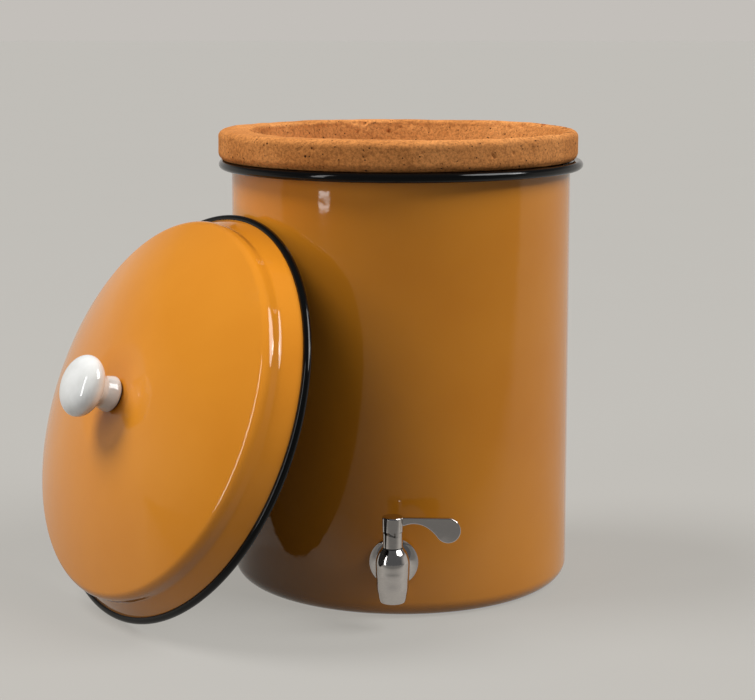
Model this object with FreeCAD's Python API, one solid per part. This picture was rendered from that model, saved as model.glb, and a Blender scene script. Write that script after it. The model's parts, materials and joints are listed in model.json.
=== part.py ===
"""Gravity water filter with a lever tap.

An enamelled steel receptacle stands on the floor. A clay filter pot hangs in its mouth by its
own thick rim. Water seeps through the clay into the receptacle and is drawn at a steel lever tap
low on the front. The domed lid is taken off and leans on the floor against the receptacle.

Millimetres. The origin is the centre of the receptacle's base on the floor, +Z is up, and the
tap points along -Y.
"""
import FreeCAD, Part
import math
import os

from FreeCAD import Vector

# Receptacle: a drawn steel pot, enamelled, with a rolled edge
body_outer_radius = 150.0
body_height = 374.0
body_sheet = 1.2
base_corner_radius = 14.0
body_bead_radius = 4.0
body_bead_overhang = 7.4
body_curl_radius = 5.0
base_disc_radius = 96.0
base_recess_depth = 2.5
base_recess_slope = 5.0
base_ring_width = 12.0

# Clay filter pot, which hangs in the mouth by its rim
clay_rim_overhang = 10.0
clay_rim_height = 27.0
clay_rim_edge = 5.0
clay_shift_x = -2.5
clay_rim_width = 21.0
clay_opening_shift_x = 8.0
clay_throat_depth = 38.0
clay_side_gap = 5.8
clay_foot_inset = 19.0
clay_depth_below_rim = 232.0
clay_wall = 16.0
clay_floor = 18.0
clay_foot_edge = 14.0

# Lid: a drawn steel dome with a rolled edge
lid_side_gap = 3.3
lid_bead_reach = 10.6
lid_bead_radius = 3.5
lid_bead_height = 1.0
lid_flange_height = 9.9
lid_flange_reach = 5.6
lid_fillet_radius = 6.0
lid_edge_height = 35.4
lid_edge_radius = 9.0
lid_dome_height = 68.5
lid_sheet = 1.2
lid_flat_radius = 45.0

# How the lid leans: its knob points this way from the floor plan's -Y, and this much upwards
lid_turn = -51.5
lid_tilt = 21.6
lid_place_bearing = -57.7

# Knob of glazed porcelain with a brass insert, screwed on from inside the lid
knob_head_radius = 26.0
knob_head_half_thickness = 14.5
knob_height = 44.0
knob_base_radius = 15.3
knob_neck_radius = 13.0
knob_neck_height = 12.0
knob_base_edge = 3.0
knob_hole_radius = 5.0
insert_length = 20.0
knob_screw_radius = 2.5
knob_screw_reach = 14.0
knob_screw_head_radius = 5.2
knob_screw_head_height = 3.2
knob_gasket_radius = 13.0
knob_gasket_thickness = 1.0
knob_washer_radius = 9.0
knob_washer_thickness = 1.2
screw_slot_width = 1.2
screw_slot_depth = 1.5

# Tap: where its two axes run
tap_height = 50.0
tap_reach = 28.5
shank_radius = 8.0
shank_bore_radius = 4.5

# Tap: the barrel and spout, from the mouth up
spout_bottom = 24.0
spout_rim_radius = 8.9
spout_edge = 1.0
belly_radius = 13.6
belly_height = 50.0
barrel_top = 69.4
barrel_top_radius = 8.9
outlet_bore_radius = 5.5
seat_height = 44.0
chamber_radius = 7.6

# Tap: the bell that meets the wall, its seals and its nut
bell_radius = 20.3
bell_lip = 1.4
bell_neck_radius = 9.6
bell_length = 7.5
seal_thickness = 2.6
outer_seal_radius = 17.0
inner_seal_radius = 14.0
steel_washer_radius = 13.5
steel_washer_thickness = 1.5
nut_across_flats = 24.0
nut_thickness = 7.0
nut_edge = 1.0
shank_beyond_nut = 4.0

# Tap: bonnet, lever, stem, plug and spring
bonnet_gasket_thickness = 0.8
bonnet_radius = 8.2
bonnet_height = 12.8
bonnet_spigot_length = 9.6
stem_radius = 2.5
stem_groove_radius = 4.5
stem_groove_height = 2.0
lever_cap_radius = 8.7
lever_cap_height = 12.0
lever_cap_edge = 1.3
lever_gap = 0.6
lever_reach = 45.1
paddle_radius = 10.4
lever_thickness = 4.6
lever_edge = 0.8
lever_arch_rise = 3.4
lever_root_depth = 8.6
lever_swing = 90.0
plug_lift = 3.0
tooth_angle = 24.0
tooth_bearing = -60.0
tooth_inner_radius = 5.6
grub_screw_radius = 1.5
grub_screw_length = 5.4
plug_radius = 6.8
plug_height = 8.0
stem_button_radius = 3.8
stem_button_height = 2.0
stem_button_rise = 2.0
stem_collar_radius = 4.9
stem_collar_height = 1.2
stem_collar_rise = 0.8
spring_wire_radius = 0.4
spring_mean_radius = 4.3
spring_turns = 6.0
spring_sides = 12

# Clearances
moving_gap = 0.3
running_fit = 0.06
thread_fit = 0.05
screw_hole_gap = 0.5


def revolve(edges):
    """Turn a closed half section in the XZ plane into a solid about the Z axis."""
    face = Part.Face(Part.Wire(edges))
    solid = face.revolve(Vector(0, 0, 0), Vector(0, 0, 1), 360)
    return Part.makeSolid(solid) if solid.ShapeType != "Solid" else solid


def line(start, end):
    """A straight edge between two (radius, height) points."""
    return Part.LineSegment(Vector(start[0], 0, start[1]), Vector(end[0], 0, end[1])).toShape()


def arc(start, middle, end):
    """A round edge through three (radius, height) points."""
    return Part.Arc(*(Vector(p[0], 0, p[1]) for p in (start, middle, end))).toShape()


def on_circle(centre, radius, angle):
    """The (radius, height) point of a circle at an angle in degrees from the outward radius."""
    turn = math.radians(angle)
    return (centre[0] + radius * math.cos(turn), centre[1] + radius * math.sin(turn))


def round_arc(centre, radius, start_angle, end_angle):
    """A round edge of the half section from one angle to another."""
    return arc(on_circle(centre, radius, start_angle),
               on_circle(centre, radius, (start_angle + end_angle) / 2),
               on_circle(centre, radius, end_angle))


def chain(points):
    """Straight edges through a list of (radius, height) points."""
    return [line(a, b) for a, b in zip(points, points[1:])]


def cylinder(radius, bottom, top):
    """A solid cylinder about the Z axis."""
    return Part.makeCylinder(radius, top - bottom, Vector(0, 0, bottom))


def tube(outer, inner, bottom, top):
    """A round ring about the Z axis."""
    return cylinder(outer, bottom, top).cut(cylinder(inner, bottom - 1, top + 1))


def torus(centre_radius, ring_radius, height):
    """A round ring of round section about the Z axis."""
    return Part.makeTorus(centre_radius, ring_radius, Vector(0, 0, height))


# Places on the receptacle that other pieces use
body_inner_radius = body_outer_radius - body_sheet
body_bead_centre_radius = body_outer_radius + body_bead_overhang
body_bead_height = body_height - body_bead_radius
tap_axis_y = -(body_outer_radius + tap_reach)


def receptacle_section():
    """Half section of the receptacle's sheet, from the base disc to the rolled edge."""
    corner = (body_outer_radius - base_corner_radius, base_corner_radius)
    curl_height = body_height - body_sheet - body_curl_radius
    curl = (body_outer_radius + body_curl_radius, curl_height)
    ring_inner = corner[0] - base_ring_width
    recess_start = base_disc_radius + base_recess_slope
    recess_end = ring_inner - base_recess_slope
    outer = [(0, 0), (base_disc_radius, 0), (recess_start, base_recess_depth),
             (recess_end, base_recess_depth), (ring_inner, 0), (corner[0], 0)]
    inner = [(r, z + body_sheet) for r, z in reversed(outer)]
    edges = chain(outer)
    edges.append(round_arc(corner, base_corner_radius, -90, 0))
    edges.append(line((body_outer_radius, corner[1]), (body_outer_radius, curl_height)))
    edges.append(round_arc(curl, body_curl_radius, 180, 90))
    bead_top = body_bead_centre_radius
    edges += chain([(curl[0], curl_height + body_curl_radius),
                    (bead_top, curl_height + body_curl_radius),
                    (bead_top, body_height), (curl[0], body_height)])
    edges.append(round_arc(curl, body_curl_radius + body_sheet, 90, 180))
    edges.append(line((body_inner_radius, curl_height), (body_inner_radius, corner[1])))
    edges.append(round_arc(corner, base_corner_radius - body_sheet, 0, -90))
    edges += chain(inner)
    edges.append(line(inner[-1], outer[0]))
    return edges


def make_receptacle_shell():
    """The enamelled pot with its rolled edge and the hole for the tap's shank."""
    shell = revolve(receptacle_section())
    shell = shell.fuse(torus(body_bead_centre_radius, body_bead_radius, body_bead_height))
    hole = Part.makeCylinder(shank_radius + screw_hole_gap, tap_reach + base_corner_radius,
                             Vector(0, tap_axis_y, tap_height), Vector(0, 1, 0))
    return shell.cut(hole).removeSplitter()


# Places on the clay pot
clay_rim_radius = body_outer_radius + clay_rim_overhang
clay_opening_radius = clay_rim_radius - clay_rim_width
clay_body_radius = body_inner_radius - clay_side_gap
clay_foot_radius = clay_body_radius - clay_foot_inset
clay_rim_bottom = body_height + moving_gap
clay_top = clay_rim_bottom + clay_rim_height
clay_bottom = clay_rim_bottom - clay_depth_below_rim
clay_throat = clay_top - clay_throat_depth


def make_clay_filter_pot():
    """The pot of porous clay: a thick pressed rim, tapered wall and rounded foot."""
    foot_corner = (clay_foot_radius - clay_foot_edge, clay_bottom + clay_foot_edge)
    rim_low = (clay_rim_radius - clay_rim_edge, clay_rim_bottom + clay_rim_edge)
    rim_high = (clay_rim_radius - clay_rim_edge, clay_top - clay_rim_edge)
    edges = [line((0, clay_top), (0, clay_bottom)),
             line((0, clay_bottom), (foot_corner[0], clay_bottom)),
             round_arc(foot_corner, clay_foot_edge, -90, 0),
             line((clay_foot_radius, foot_corner[1]), (clay_body_radius, clay_rim_bottom)),
             line((clay_body_radius, clay_rim_bottom), (rim_low[0], clay_rim_bottom)),
             round_arc(rim_low, clay_rim_edge, -90, 0),
             line((clay_rim_radius, rim_low[1]), (clay_rim_radius, rim_high[1])),
             round_arc(rim_high, clay_rim_edge, 0, 90),
             line((rim_high[0], clay_top), (0, clay_top))]
    pot = revolve(edges)
    throat_radius = clay_body_radius - clay_wall
    opening = Vector(clay_opening_shift_x - clay_shift_x, 0, 0)
    mouth = Part.Wire(Part.makeCircle(clay_opening_radius, opening + Vector(0, 0, clay_top)))
    throat = Part.Wire(Part.makeCircle(throat_radius, Vector(0, 0, clay_throat)))
    funnel = Part.makeLoft([throat, mouth], True, True)
    pool_bottom = clay_bottom + clay_floor
    well = Part.makeCone(clay_foot_radius - clay_wall, throat_radius,
                         clay_throat - pool_bottom, Vector(0, 0, pool_bottom))
    pot = pot.cut(funnel).cut(well)
    pot.translate(Vector(clay_shift_x, 0, 0))
    return pot


# Lid: its section is drawn about its own axis, with the rolled edge's plane near height zero
lid_wall_radius = clay_rim_radius + lid_side_gap
lid_bead_centre_radius = lid_wall_radius + lid_bead_reach
lid_flange_radius = lid_wall_radius + lid_flange_reach
lid_edge_centre = (lid_wall_radius - lid_edge_radius, lid_edge_height - lid_edge_radius)
dome_rise = lid_dome_height - lid_edge_radius
dome_centre_height = ((dome_rise ** 2 - lid_edge_centre[0] ** 2 - lid_edge_centre[1] ** 2)
                      / (2 * (dome_rise - lid_edge_centre[1])))
dome_radius = lid_dome_height - dome_centre_height
lid_flat_height = dome_centre_height + math.sqrt(dome_radius ** 2 - lid_flat_radius ** 2)


def lid_surface(inset):
    """Edges of the lid's outer face moved inwards by inset, from the axis out to the flange."""
    flat = lid_flat_height - inset
    sphere = dome_radius - inset
    edge_turn = math.degrees(math.atan2(lid_edge_centre[1] - dome_centre_height,
                                        lid_edge_centre[0]))
    start_turn = math.degrees(math.asin((flat - dome_centre_height) / sphere))
    flat_edge = on_circle((0, dome_centre_height), sphere, start_turn)
    fillet = lid_fillet_radius + inset
    slope = math.degrees(math.atan2(lid_flange_height - lid_bead_height,
                                    lid_bead_centre_radius - lid_flange_radius))
    wall = lid_wall_radius - inset
    turn_centre = (lid_wall_radius + lid_fillet_radius, fillet_centre_height(slope))
    foot_angle = 270 - slope
    foot = on_circle(turn_centre, fillet, foot_angle)
    run = (lid_bead_centre_radius - turn_centre[0]
           - fillet * math.cos(math.radians(foot_angle)))
    flange_end = (foot[0] + run, foot[1] - run * math.tan(math.radians(slope)))
    return [line((0, flat), flat_edge),
            round_arc((0, dome_centre_height), sphere, start_turn, edge_turn),
            round_arc(lid_edge_centre, lid_edge_radius - inset, edge_turn, 0),
            line((wall, lid_edge_centre[1]), (wall, turn_centre[1])),
            round_arc(turn_centre, fillet, 180, foot_angle),
            line(foot, flange_end)], flange_end


def fillet_centre_height(slope):
    """Height of the fillet's centre, so that the flange's slope runs through its own point."""
    angle = math.radians(270 - slope)
    centre_radius = lid_wall_radius + lid_fillet_radius
    foot_radius = centre_radius + lid_fillet_radius * math.cos(angle)
    foot_height = lid_flange_height + ((lid_flange_radius - foot_radius)
                                       * math.tan(math.radians(slope)))
    return foot_height - lid_fillet_radius * math.sin(angle)


def make_lid_shell():
    """The enamelled lid about its own axis, with its rolled edge and the screw's hole."""
    outer, outer_end = lid_surface(0)
    inner, inner_end = lid_surface(lid_sheet)
    inner_start = (0, lid_flat_height - lid_sheet)
    edges = outer + [line(outer_end, inner_end)] + inner + [line(inner_start,
                                                                 (0, lid_flat_height))]
    shell = revolve(Part.__sortEdges__(edges))
    shell = shell.fuse(torus(lid_bead_centre_radius, lid_bead_radius, lid_bead_height))
    hole = cylinder(knob_screw_radius + screw_hole_gap, lid_flat_height - 2 * lid_sheet,
                    lid_flat_height + lid_sheet)
    return shell.cut(hole).removeSplitter()


knob_base_height = lid_flat_height + knob_gasket_thickness
knob_head_height = knob_base_height + knob_height - knob_head_half_thickness


def make_lid_knob():
    """The porcelain knob: a collared foot, a waist and a flattened ball for the hand."""
    base = knob_base_height
    foot_centre = (knob_base_radius - knob_base_edge, base + knob_base_edge)
    join_radius = knob_neck_radius + knob_base_edge / 2
    join_turn = math.acos(join_radius / knob_head_radius)
    join = (join_radius, knob_head_height - knob_head_half_thickness * math.sin(join_turn))
    waist = (knob_neck_radius, base + knob_neck_height)
    middle = (knob_neck_radius + (join_radius - knob_neck_radius) * 0.3,
              (waist[1] + join[1]) / 2)
    ellipse = Part.Ellipse(Vector(knob_head_radius, 0, knob_head_height),
                           Vector(0, 0, knob_head_height + knob_head_half_thickness),
                           Vector(0, 0, knob_head_height))
    head = Part.ArcOfEllipse(ellipse, -join_turn, math.pi / 2).toBSpline().toShape()
    side = (knob_base_radius, foot_centre[1])
    swell = (knob_base_radius - 0.4 * (knob_base_radius - knob_neck_radius),
             (side[1] + waist[1]) / 2)
    edges = [line((0, base), (foot_centre[0], base)),
             round_arc(foot_centre, knob_base_edge, -90, 0),
             arc(side, swell, waist), arc(waist, middle, join), head,
             line((0, knob_base_height + knob_height), (0, base))]
    knob = revolve(edges)
    return knob.cut(cylinder(knob_hole_radius, base - 1, base + insert_length + moving_gap))


def make_knob_insert():
    """The threaded brass sleeve in the knob's foot."""
    return tube(knob_hole_radius - thread_fit, knob_screw_radius + thread_fit,
                knob_base_height, knob_base_height + insert_length)


def make_knob_gasket():
    """The rubber ring between knob and lid."""
    return tube(knob_gasket_radius, knob_screw_radius + screw_hole_gap,
                lid_flat_height, knob_base_height)


washer_face = lid_flat_height - lid_sheet
screw_seat = washer_face - knob_washer_thickness


def make_knob_washer():
    """The steel washer under the screw's head, inside the lid."""
    return tube(knob_washer_radius, knob_screw_radius + screw_hole_gap,
                screw_seat, washer_face)


def make_knob_screw():
    """The slotted screw that comes up from inside the lid into the knob's insert."""
    head_bottom = screw_seat - knob_screw_head_height
    screw = cylinder(knob_screw_radius, screw_seat, knob_base_height + knob_screw_reach)
    head = cylinder(knob_screw_head_radius, head_bottom, screw_seat)
    rim = [edge for edge in head.Edges
           if edge.Closed and abs(edge.CenterOfMass.z - head_bottom) < 1e-6]
    head = head.makeFillet(knob_screw_head_height / 2, rim)
    slot = Part.makeBox(2 * knob_screw_head_radius, screw_slot_width, screw_slot_depth,
                        Vector(-knob_screw_head_radius, -screw_slot_width / 2, head_bottom))
    return screw.fuse(head).cut(slot)


def lid_axes():
    """The leaning lid's own axes: along the floor, up the lid, and out along the knob."""
    turn = math.radians(lid_turn)
    tilt = math.radians(lid_tilt)
    along = Vector(math.cos(turn), math.sin(turn), 0)
    out = Vector(math.sin(turn) * math.cos(tilt), -math.cos(turn) * math.cos(tilt),
                 math.sin(tilt))
    return along, out.cross(along), out


def body_distance(radius, height):
    """Distance from a (radius, height) point beside the receptacle to its outer face."""
    corner = (body_outer_radius - base_corner_radius, base_corner_radius)
    curl = (body_outer_radius + body_curl_radius, body_height - body_sheet - body_curl_radius)
    if height < corner[1]:
        wall = math.hypot(radius - corner[0], height - corner[1]) - base_corner_radius
    elif height < curl[1]:
        wall = radius - body_outer_radius
    elif radius < curl[0]:
        wall = body_curl_radius - math.hypot(radius - curl[0], height - curl[1])
    else:
        wall = math.inf
    bead = (math.hypot(radius - body_bead_centre_radius, height - body_bead_height)
            - body_bead_radius)
    return min(wall, bead)


def lid_clearance(distance):
    """Least gap between the leaning lid's edge and the receptacle at a distance from its axis."""
    centre = lid_centre(distance)
    along, up, out = lid_axes()
    gaps = []
    for step in range(720):
        turn = math.radians(step / 2)
        point = (centre + out * lid_bead_height
                 + (along * math.cos(turn) + up * math.sin(turn)) * lid_bead_centre_radius)
        gaps.append(body_distance(math.hypot(point.x, point.y), point.z) - lid_bead_radius)
    return min(gaps)


def lid_centre(distance):
    """Centre of the leaning lid when it stands on the floor at a distance from the origin."""
    tilt = math.radians(lid_tilt)
    bearing = math.radians(lid_place_bearing)
    height = (lid_bead_centre_radius * math.cos(tilt) + lid_bead_radius
              - lid_bead_height * math.sin(tilt))
    return Vector(distance * math.sin(bearing), -distance * math.cos(bearing), height)


def lid_placement():
    """Where the lid comes to rest: on the floor, just short of the receptacle's wall."""
    near = 0.0
    far = 4 * (body_outer_radius + lid_bead_centre_radius)
    for step in range(60):
        middle = (near + far) / 2
        if lid_clearance(middle) < moving_gap:
            near = middle
        else:
            far = middle
    along, up, out = lid_axes()
    centre = lid_centre(far)
    return FreeCAD.Placement(FreeCAD.Matrix(
        along.x, up.x, out.x, centre.x,
        along.y, up.y, out.y, centre.y,
        along.z, up.z, out.z, centre.z,
        0, 0, 0, 1))


def along_shank(radius, front, back):
    """A solid cylinder on the shank's axis, from front to back along Y."""
    return Part.makeCylinder(radius, back - front, Vector(0, front, tap_height),
                             Vector(0, 1, 0))


def shank_ring(outer, inner, front, back):
    """A round ring on the shank's axis."""
    return along_shank(outer, front, back).cut(along_shank(inner, front - 1, back + 1))


def at_tap(shape):
    """Move a shape from the Z axis to the tap's upright axis."""
    moved = shape.copy()
    moved.translate(Vector(0, tap_axis_y, 0))
    return moved


# Places along the shank: the outer seal lies between the bell and the curved wall
bell_back = -body_outer_radius - seal_thickness
bell_front = bell_back - bell_length
inner_seal_back = -body_inner_radius + seal_thickness
washer_back = inner_seal_back + steel_washer_thickness
nut_back = washer_back + nut_thickness
shank_end = nut_back + shank_beyond_nut
# Places up the tap
bonnet_bottom = barrel_top + bonnet_gasket_thickness
bonnet_top = bonnet_bottom + bonnet_height
plug_bottom = seat_height + moving_gap
plug_top = plug_bottom + plug_height
stem_collar_bottom = plug_top + stem_collar_rise
stem_collar_top = stem_collar_bottom + stem_collar_height
spring_top = barrel_top - spring_wire_radius
spigot_bottom = barrel_top - bonnet_spigot_length
lever_bottom = bonnet_top + lever_gap
lever_top = lever_bottom + lever_cap_height
notch_depth = plug_lift + moving_gap
tooth_bottom = bonnet_top - plug_lift
stem_top = lever_top - lever_cap_edge - stem_radius
stem_groove_heights = [bonnet_bottom + bonnet_height / 4,
                       bonnet_bottom + bonnet_height / 4 + 2 * stem_groove_height]


def make_tap_body():
    """The polished steel casting: spout, barrel, bell against the wall and threaded shank."""
    edge = spout_edge
    rim = (spout_rim_radius - edge, spout_bottom + edge)
    belly = (belly_radius, belly_height)
    low = (spout_rim_radius + 0.62 * (belly_radius - spout_rim_radius),
           spout_bottom + 0.36 * (belly_height - spout_bottom))
    high = (barrel_top_radius + 0.72 * (belly_radius - barrel_top_radius),
            belly_height + 0.56 * (barrel_top - belly_height))
    side = Part.BSplineCurve()
    side.interpolate([Vector(spout_rim_radius, 0, rim[1]), Vector(low[0], 0, low[1]),
                      Vector(belly[0], 0, belly[1]), Vector(high[0], 0, high[1]),
                      Vector(barrel_top_radius, 0, barrel_top)])
    edges = [line((0, spout_bottom), (rim[0], spout_bottom)),
             round_arc(rim, edge, -90, 0), side.toShape(),
             line((barrel_top_radius, barrel_top), (0, barrel_top)),
             line((0, barrel_top), (0, spout_bottom))]
    barrel = at_tap(revolve(edges))
    shank = along_shank(shank_radius, bell_back, shank_end)
    neck = along_shank(bell_neck_radius, tap_axis_y, bell_back)
    body = barrel.fuse(neck).fuse(make_bell()).fuse(shank)
    body = body.cut(along_shank(shank_bore_radius, tap_axis_y, shank_end + 1))
    chamber = cylinder(chamber_radius, seat_height, barrel_top + 1)
    outlet = cylinder(outlet_bore_radius, spout_bottom - 1, seat_height + 1)
    return body.cut(at_tap(chamber.fuse(outlet))).removeSplitter()


def make_bell():
    """The trumpet-shaped flange that covers the hole in the wall."""
    lip = bell_back - bell_lip
    middle = (bell_neck_radius + 0.30 * (bell_radius - bell_neck_radius),
              lip - 0.36 * (bell_length - bell_lip))
    points = [(bell_neck_radius, bell_front), middle, (bell_radius, lip)]
    flare = Part.Arc(*(Vector(r, y, 0) for r, y in points)).toShape()
    corners = [Vector(bell_radius, lip, 0), Vector(bell_radius, bell_back, 0),
               Vector(0, bell_back, 0), Vector(0, bell_front, 0),
               Vector(bell_neck_radius, bell_front, 0)]
    edges = [flare] + [Part.LineSegment(a, b).toShape() for a, b in zip(corners, corners[1:])]
    bell = Part.Face(Part.Wire(Part.__sortEdges__(edges))).revolve(
        Vector(0, 0, 0), Vector(0, 1, 0), 360)
    bell.translate(Vector(0, 0, tap_height))
    return bell


def make_tap_outer_seal():
    """The silicone ring between the bell and the outside of the curved wall."""
    ring = shank_ring(outer_seal_radius, shank_radius + running_fit,
                      bell_back, -body_outer_radius + seal_thickness)
    return ring.cut(cylinder(body_outer_radius, 0, body_height))


def make_tap_inner_seal():
    """The silicone ring against the inside of the curved wall."""
    ring = shank_ring(inner_seal_radius, shank_radius + running_fit,
                      -body_outer_radius - 1, inner_seal_back)
    return ring.common(cylinder(body_inner_radius, 0, body_height))


def make_tap_inner_washer():
    """The steel washer between the inner seal and the nut."""
    return shank_ring(steel_washer_radius, shank_radius + running_fit,
                      inner_seal_back, washer_back)


def make_tap_nut():
    """The hexagon nut that clamps the tap to the wall from inside."""
    corner_radius = nut_across_flats / math.sqrt(3)
    corners = [Vector(corner_radius * math.cos(math.radians(60 * n)), washer_back,
                      tap_height + corner_radius * math.sin(math.radians(60 * n)))
               for n in range(7)]
    hexagon = Part.Face(Part.makePolygon(corners)).extrude(Vector(0, nut_thickness, 0))
    blank = along_shank(corner_radius, washer_back, nut_back)
    blank = blank.makeChamfer(nut_edge, [e for e in blank.Edges if e.Closed])
    return hexagon.common(blank).cut(
        along_shank(shank_radius + thread_fit, washer_back - 1, nut_back + 1))


def ramp_cutter(outer_radius):
    """The space above the bonnet's cam ramp: a notch for the tooth, then a helical rise."""
    floor = bonnet_top - notch_depth
    notch_half = tooth_angle / 2 + math.degrees(moving_gap / tooth_inner_radius)
    notch = sector(outer_radius, tooth_bearing - notch_half, tooth_bearing + notch_half,
                   floor, bonnet_top + 1)
    pitch = plug_lift * 360 / lever_swing
    inner = Part.makeHelix(pitch, plug_lift, stem_radius, 0, True)
    outer = Part.makeHelix(pitch, plug_lift, outer_radius, 0, True)
    strip = Part.makeRuledSurface(inner.Edges[0], outer.Edges[0])
    strip.rotate(Vector(0, 0, 0), Vector(0, 0, 1), tooth_bearing - notch_half)
    strip.translate(Vector(0, 0, floor))
    rise = strip.extrude(Vector(0, 0, notch_depth + 1))
    return notch, rise


def sector(radius, start, end, bottom, top):
    """A wedge of a cylinder about the Z axis between two bearings in degrees."""
    wedge = Part.makeCylinder(radius, top - bottom, Vector(0, 0, bottom), Vector(0, 0, 1),
                              end - start)
    wedge.rotate(Vector(0, 0, 0), Vector(0, 0, 1), start)
    return wedge


def make_tap_bonnet():
    """The collar screwed into the barrel: stem guide, spring pocket and cam ramp."""
    collar = cylinder(bonnet_radius, bonnet_bottom, bonnet_top)
    spigot = cylinder(chamber_radius - thread_fit, spigot_bottom, bonnet_bottom)
    pocket = cylinder(stem_collar_radius + moving_gap, spigot_bottom - 1, barrel_top)
    bonnet = collar.fuse(spigot).cut(pocket)
    bonnet = bonnet.cut(cylinder(stem_radius + running_fit, spigot_bottom, bonnet_top + 1))
    for height in stem_groove_heights:
        bonnet = bonnet.cut(cylinder(stem_groove_radius, height, height + stem_groove_height))
    notch, rise = ramp_cutter(bonnet_radius + 1)
    land = cylinder(tooth_inner_radius - moving_gap, bonnet_top - notch_depth, bonnet_top + 2)
    return at_tap(bonnet.cut(notch.cut(land)).cut(rise.cut(land)))


def make_bonnet_gasket():
    """The thin black ring between barrel and bonnet."""
    return at_tap(tube(bonnet_radius, chamber_radius, barrel_top, bonnet_bottom))


def make_stem_o_rings():
    """Two rubber rings in the bonnet that seal the stem."""
    ring_radius = (stem_groove_radius - stem_radius) / 2 - running_fit
    centre_radius = stem_radius + running_fit + ring_radius
    rings = [at_tap(torus(centre_radius, ring_radius, height + stem_groove_height / 2))
             for height in stem_groove_heights]
    return Part.makeCompound(rings)


def lever_outline():
    """The lever arm's side view: straight top, arched underside and a round paddle."""
    top = lever_top - lever_cap_edge / 2
    paddle_centre = (lever_reach, top - paddle_radius)
    join_angle = 215.0
    join = on_circle(paddle_centre, paddle_radius, join_angle)
    root = lever_cap_radius * 0.6
    root_low = top - lever_root_depth
    crown = (root + 0.45 * (join[0] - root), root_low + lever_arch_rise)
    tip = on_circle(paddle_centre, paddle_radius, 0)
    return [line((root, root_low), (root, top)), line((root, top), (paddle_centre[0], top)),
            round_arc(paddle_centre, paddle_radius, 90, 0),
            arc(tip, on_circle(paddle_centre, paddle_radius, -70), join),
            arch((root, root_low), crown, join)]


def arch(start, crown, end):
    """A smooth curved edge through three (x, height) points."""
    curve = Part.BSplineCurve()
    curve.interpolate([Vector(p[0], 0, p[1]) for p in (start, crown, end)])
    return curve.toShape()


def make_tap_lever():
    """The lever: a round cap on the stem, a flat arm with a paddle, and the cam tooth."""
    face = Part.Face(Part.Wire(Part.__sortEdges__(lever_outline())))
    arm = face.extrude(Vector(0, lever_thickness, 0))
    arm.translate(Vector(0, -lever_thickness / 2, 0))
    outline = [e for e in arm.Edges
               if abs(abs(e.CenterOfMass.y) - lever_thickness / 2) < 1e-6
               and e.BoundBox.XMax > lever_cap_radius * 0.6 + 1e-3]
    arm = arm.makeFillet(lever_edge, outline)
    cap = cylinder(lever_cap_radius, lever_bottom, lever_top)
    rim = [e for e in cap.Edges if e.Closed and abs(e.CenterOfMass.z - lever_top) < 1e-6]
    cap = cap.makeFillet(lever_cap_edge, rim)
    half = tooth_angle / 2
    tooth = sector(lever_cap_radius, tooth_bearing - half, tooth_bearing + half,
                   tooth_bottom, lever_bottom + 1)
    tooth = tooth.cut(cylinder(tooth_inner_radius, tooth_bottom - 1, lever_bottom + 2))
    lever = cap.fuse(arm).fuse(tooth)
    lever = lever.cut(cylinder(stem_radius + thread_fit, lever_bottom - 1,
                               stem_top + thread_fit))
    return at_tap(lever.cut(grub_hole(grub_screw_radius + thread_fit, lever_cap_radius + 1)))


grub_height = (lever_bottom + stem_top) / 2


def grub_hole(radius, reach):
    """A cylinder from the stem's side out to a distance, on the wall's side of the lever."""
    start = stem_radius + thread_fit
    return Part.makeCylinder(radius, reach - start, Vector(0, start, grub_height),
                             Vector(0, 1, 0))


def make_lever_grub_screw():
    """The headless screw that fixes the lever on the stem, with its hexagon socket."""
    start = stem_radius + thread_fit
    screw = grub_hole(grub_screw_radius, start + grub_screw_length)
    socket_radius = grub_screw_radius * 0.55
    corners = [Vector(socket_radius * math.cos(math.radians(60 * n)),
                      start + grub_screw_length - grub_screw_radius,
                      grub_height + socket_radius * math.sin(math.radians(60 * n)))
               for n in range(7)]
    socket = Part.Face(Part.makePolygon(corners)).extrude(Vector(0, 2 * grub_screw_radius, 0))
    return at_tap(screw.cut(socket))


def make_valve_stem():
    """The steel stem: a button held in the plug, a collar under the spring, and the rod."""
    button_bottom = plug_bottom + stem_button_rise
    button_top = button_bottom + stem_button_height
    rod = cylinder(stem_radius, button_bottom, stem_top)
    button = cylinder(stem_button_radius, button_bottom, button_top)
    collar = cylinder(stem_collar_radius, stem_collar_bottom, stem_collar_top)
    return at_tap(rod.fuse(button).fuse(collar).removeSplitter())


def make_valve_plug():
    """The silicone plug that closes the seat, with a socket for the stem's button."""
    plug = cylinder(plug_radius, plug_bottom, plug_top)
    edges = [e for e in plug.Edges if e.Closed]
    plug = plug.makeFillet(plug_height / 8, edges)
    button_bottom = plug_bottom + stem_button_rise
    socket = cylinder(stem_button_radius + moving_gap, button_bottom - moving_gap,
                      button_bottom + stem_button_height + moving_gap)
    neck = cylinder(stem_radius + moving_gap, button_bottom, plug_top + 1)
    return at_tap(plug.cut(socket).cut(neck))


def make_valve_spring():
    """The coil spring that presses the stem's collar and the plug down on the seat."""
    bottom = stem_collar_top + spring_wire_radius
    length = spring_top - bottom
    steps = round(spring_turns * spring_sides)
    points = []
    for step in range(steps + 1):
        turn = math.radians(360 * step / spring_sides)
        points.append(Vector(spring_mean_radius * math.cos(turn),
                             spring_mean_radius * math.sin(turn),
                             bottom + length * step / steps))
    section = Part.Wire(Part.makeCircle(spring_wire_radius, points[0], points[1] - points[0]))
    return at_tap(Part.makePolygon(points).makePipeShell([section], True, False, 1))


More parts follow.
